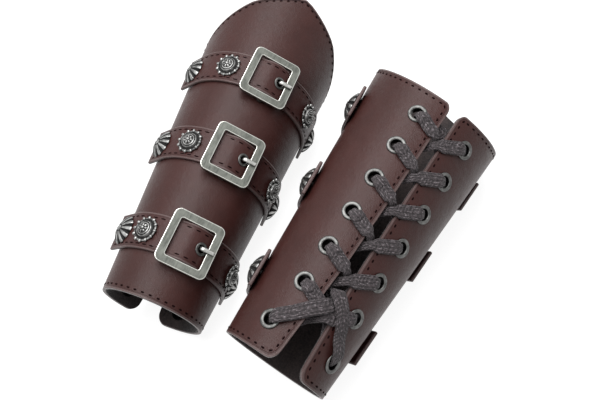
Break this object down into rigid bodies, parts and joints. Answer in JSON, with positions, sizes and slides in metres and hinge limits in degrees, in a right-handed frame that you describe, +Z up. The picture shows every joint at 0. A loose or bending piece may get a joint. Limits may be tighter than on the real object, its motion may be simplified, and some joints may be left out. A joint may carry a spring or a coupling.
{
  "type": "pair of leather bracers",
  "caption": "Two tapered leather forearm sleeves, lined, each with buckled straps, beaded and petal stud ornaments and a flat lace that closes the seam.",
  "frame": {"origin": "on the surface that the pair lies on, under the centre of its box", "axes": "+Z up; +Y along the left bracer, from its wrist to its elbow end; +X from the left bracer to the right one"},
  "size_m": [0.2714, 0.3054, 0.1246],
  "materials": {
    "sleeve_leather": "smooth, soft sheen",
    "strap_leather": "smooth, soft sheen, stitched edges",
    "lining_suede": "rough, napped",
    "lace_cord": "braided, waxed",
    "antique_silver": "antique silver, dark in the recesses",
    "bright_steel": "polished by wear",
    "gunmetal": "dark, satin"
  },
  "bodies": {
    "left_bracer": {"left_sleeve": "sleeve_leather", "left_lining": "lining_suede", "left_lace_eyelets": "gunmetal", "left_lace": "lace_cord", "left_lace_knot": "lace_cord", "left_round_studs": "antique_silver", "left_petal_studs": "antique_silver", "left_stud_backs": "gunmetal", "left_wrist_buckle_strap": "strap_leather", "left_wrist_holed_strap": "strap_leather", "left_wrist_strap_eyelet": "gunmetal", "left_middle_buckle_strap": "strap_leather", "left_middle_holed_strap": "strap_leather", "left_middle_strap_eyelet": "gunmetal", "left_elbow_buckle_strap": "strap_leather", "left_elbow_holed_strap": "strap_leather", "left_elbow_strap_eyelet": "gunmetal"},
    "left_wrist_buckle": {"left_wrist_buckle_frame": "antique_silver"},
    "left_wrist_prong": {"left_wrist_prong": "bright_steel"},
    "left_middle_buckle": {"left_middle_buckle_frame": "antique_silver"},
    "left_middle_prong": {"left_middle_prong": "bright_steel"},
    "left_elbow_buckle": {"left_elbow_buckle_frame": "antique_silver"},
    "left_elbow_prong": {"left_elbow_prong": "bright_steel"},
    "right_bracer": {"right_sleeve": "sleeve_leather", "right_lining": "lining_suede", "right_lace_eyelets": "gunmetal", "right_lace": "lace_cord", "right_lace_knot": "lace_cord", "right_round_studs": "antique_silver", "right_petal_studs": "antique_silver", "right_stud_backs": "gunmetal", "right_wrist_buckle_strap": "strap_leather", "right_wrist_holed_strap": "strap_leather", "right_wrist_strap_eyelet": "gunmetal", "right_middle_buckle_strap": "strap_leather", "right_middle_holed_strap": "strap_leather", "right_middle_strap_eyelet": "gunmetal", "right_elbow_buckle_strap": "strap_leather", "right_elbow_holed_strap": "strap_leather", "right_elbow_strap_eyelet": "gunmetal"},
    "right_wrist_buckle": {"right_wrist_buckle_frame": "antique_silver"},
    "right_wrist_prong": {"right_wrist_prong": "bright_steel"},
    "right_middle_buckle": {"right_middle_buckle_frame": "antique_silver"},
    "right_middle_prong": {"right_middle_prong": "bright_steel"},
    "right_elbow_buckle": {"right_elbow_buckle_frame": "antique_silver"},
    "right_elbow_prong": {"right_elbow_prong": "bright_steel"}
  },
  "joints": [
    {"name": "right_bracer_lift", "type": "slide", "parent": "left_bracer", "child": "right_bracer", "axis": [0, 0, 1], "range_m": [0, 0.3]},
    {"name": "left_wrist_buckle_rock", "type": "hinge", "parent": "left_bracer", "child": "left_wrist_buckle", "pos_m": [-0.05273, -0.08406, 0.08594], "axis": [0.0412, 0.9901, 0.1343], "range_deg": [0, 4]},
    {"name": "left_wrist_prong_lift", "type": "hinge", "parent": "left_bracer", "child": "left_wrist_prong", "pos_m": [-0.05273, -0.08406, 0.08594], "axis": [-0.0412, -0.9901, -0.1343], "range_deg": [0, 5]},
    {"name": "left_middle_buckle_rock", "type": "hinge", "parent": "left_bracer", "child": "left_middle_buckle", "pos_m": [-0.04954, -0.00722, 0.09636], "axis": [0.0412, 0.9901, 0.1343], "range_deg": [0, 4]},
    {"name": "left_middle_prong_lift", "type": "hinge", "parent": "left_bracer", "child": "left_middle_prong", "pos_m": [-0.04954, -0.00722, 0.09636], "axis": [-0.0412, -0.9901, -0.1343], "range_deg": [0, 5]},
    {"name": "left_elbow_buckle_rock", "type": "hinge", "parent": "left_bracer", "child": "left_elbow_buckle", "pos_m": [-0.0465, 0.06585, 0.10627], "axis": [0.0412, 0.9901, 0.1343], "range_deg": [0, 4]},
    {"name": "left_elbow_prong_lift", "type": "hinge", "parent": "left_bracer", "child": "left_elbow_prong", "pos_m": [-0.0465, 0.06585, 0.10627], "axis": [-0.0412, -0.9901, -0.1343], "range_deg": [0, 5]},
    {"name": "right_wrist_buckle_rock", "type": "hinge", "parent": "right_bracer", "child": "right_wrist_buckle", "pos_m": [0.01579, -0.08516, 0.01491], "axis": [0.1812, 0.9834, 0.0126], "range_deg": [0, 4]},
    {"name": "right_wrist_prong_lift", "type": "hinge", "parent": "right_bracer", "child": "right_wrist_prong", "pos_m": [0.01579, -0.08516, 0.01491], "axis": [-0.1812, -0.9834, -0.0126], "range_deg": [0, 5]},
    {"name": "right_middle_buckle_rock", "type": "hinge", "parent": "right_bracer", "child": "right_middle_buckle", "pos_m": [0.02985, -0.00884, 0.01589], "axis": [0.1812, 0.9834, 0.0126], "range_deg": [0, 4]},
    {"name": "right_middle_prong_lift", "type": "hinge", "parent": "right_bracer", "child": "right_middle_prong", "pos_m": [0.02985, -0.00884, 0.01589], "axis": [-0.1812, -0.9834, -0.0126], "range_deg": [0, 5]},
    {"name": "right_elbow_buckle_rock", "type": "hinge", "parent": "right_bracer", "child": "right_elbow_buckle", "pos_m": [0.04322, 0.06374, 0.01681], "axis": [0.1812, 0.9834, 0.0126], "range_deg": [0, 4]},
    {"name": "right_elbow_prong_lift", "type": "hinge", "parent": "right_bracer", "child": "right_elbow_prong", "pos_m": [0.04322, 0.06374, 0.01681], "axis": [-0.1812, -0.9834, -0.0126], "range_deg": [0, 5]}
  ]
}
